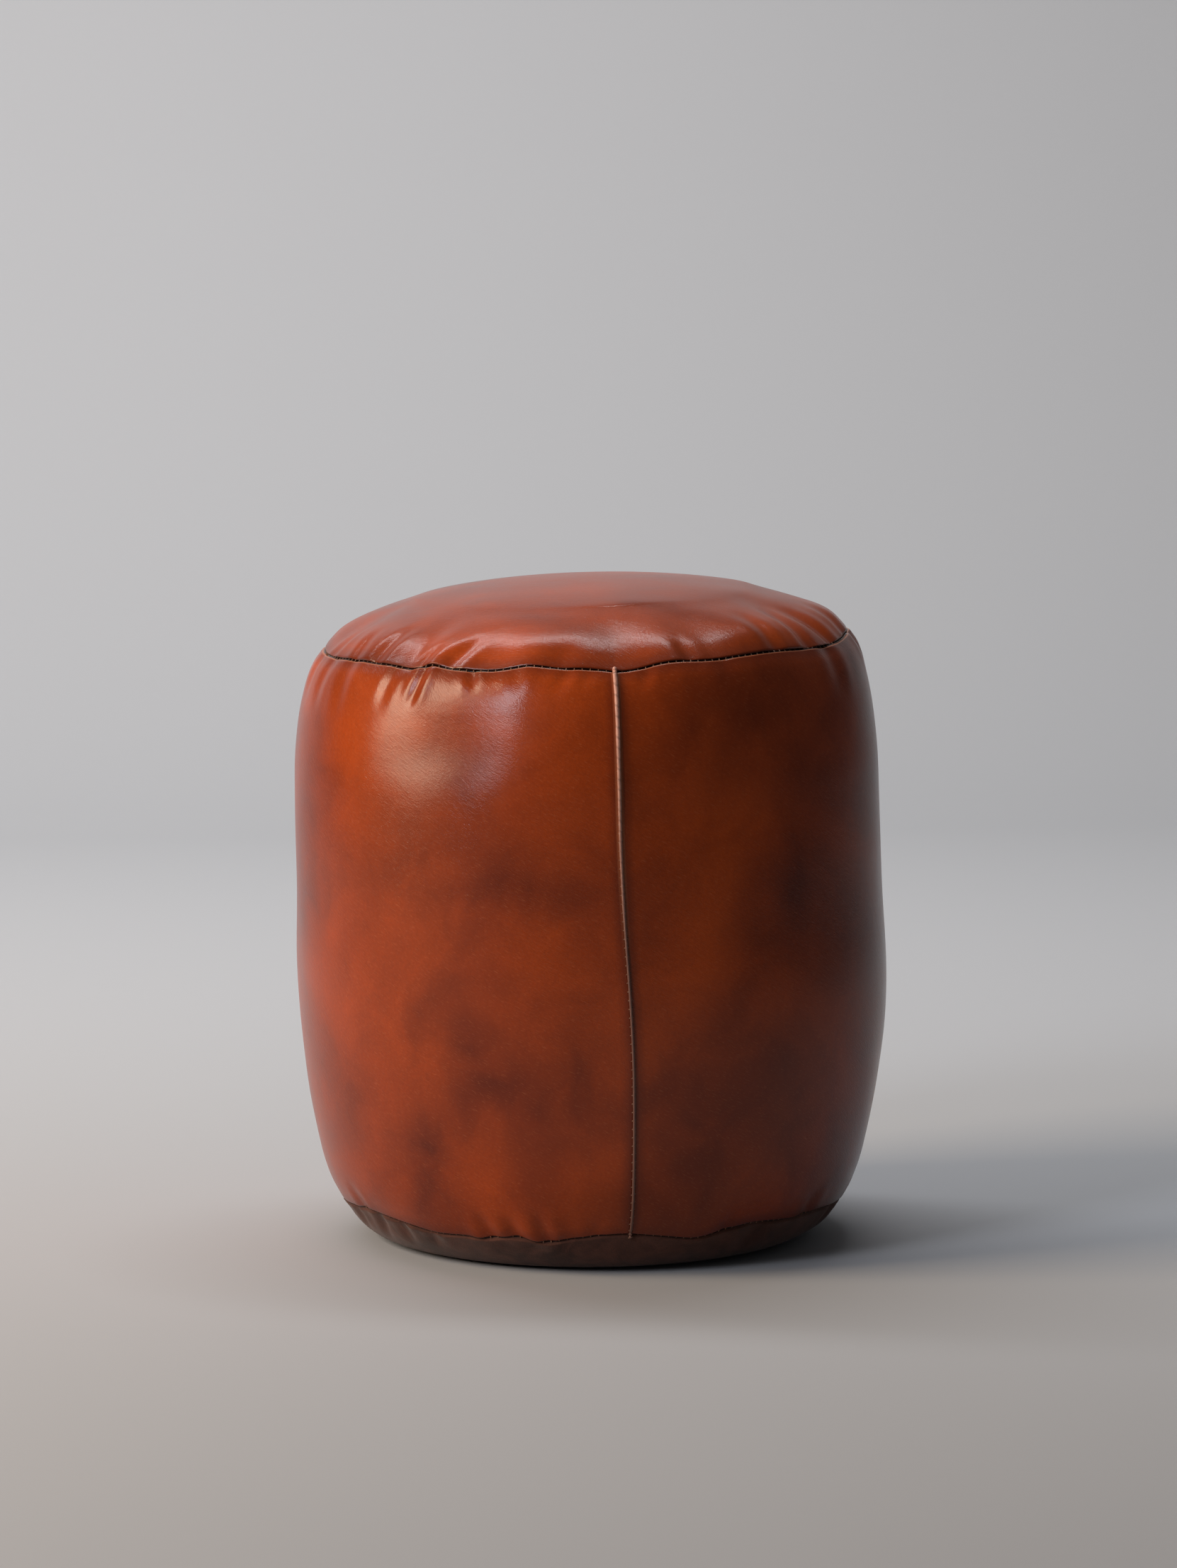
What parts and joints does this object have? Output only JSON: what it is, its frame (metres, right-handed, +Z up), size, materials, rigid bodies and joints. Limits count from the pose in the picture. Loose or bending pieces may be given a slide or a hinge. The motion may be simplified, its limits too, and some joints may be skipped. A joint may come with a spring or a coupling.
{
  "type": "leather pouf",
  "caption": "Round barrel-shaped leather pouf with a domed top, sewn side panels, a suede base and a zip underneath, stuffed firm as a low seat or footstool.",
  "frame": {"origin": "on the floor, under the middle of the pouf's bounding box", "axes": "+Z up, -Y towards the front side seam, X along the zip in the base"},
  "size_m": [0.4048, 0.4074, 0.448],
  "materials": {
    "top_leather": "semi-gloss waxed leather with a smoky brown patina",
    "side_leather": "semi-gloss waxed leather with a smoky brown patina",
    "raw_edge_leather": "pale raw leather edge",
    "suede": "dark brown suede with a soft nap",
    "thread": "waxed tan thread",
    "zip_tape": "woven dark brown zip tape",
    "zip_metal": "dull brass zip teeth and stops",
    "slider_metal": "antique brass slider and pull",
    "liner_cloth": "unbleached muslin",
    "stuffing": "matted textile filling"
  },
  "bodies": {
    "cover": {"top_panel": "top_leather", "side_panel_left": "side_leather", "side_panel_right": "side_leather", "front_seam_welt": "raw_edge_leather", "rear_seam_welt": "raw_edge_leather", "base_panel_front": "suede", "base_panel_rear": "suede", "top_seam_thread": "thread", "base_seam_thread": "thread", "front_seam_thread": "thread", "rear_seam_thread": "thread", "zip_stitching_front": "thread", "zip_stitching_rear": "thread", "zip_tape_front": "zip_tape", "zip_tape_rear": "zip_tape", "zip_teeth_front": "zip_metal", "zip_teeth_rear": "zip_metal", "zip_top_stop_front": "zip_metal", "zip_top_stop_rear": "zip_metal", "zip_bottom_stop": "zip_metal", "liner_bag": "liner_cloth", "stuffing": "stuffing"},
    "slider": {"zip_slider": "slider_metal"},
    "pull": {"zip_pull": "slider_metal"}
  },
  "joints": [
    {"name": "zip_slide", "type": "slide", "parent": "cover", "child": "slider", "axis": [-1, 0, 0], "range_m": [0, 0.231], "deforming": ["zip_teeth_front", "zip_teeth_rear"]},
    {"name": "zip_pull_swing", "type": "hinge", "parent": "slider", "child": "pull", "pos_m": [0.1173, 0, 0.00525], "axis": [0, -1, 0], "range_deg": [0, 120]}
  ]
}
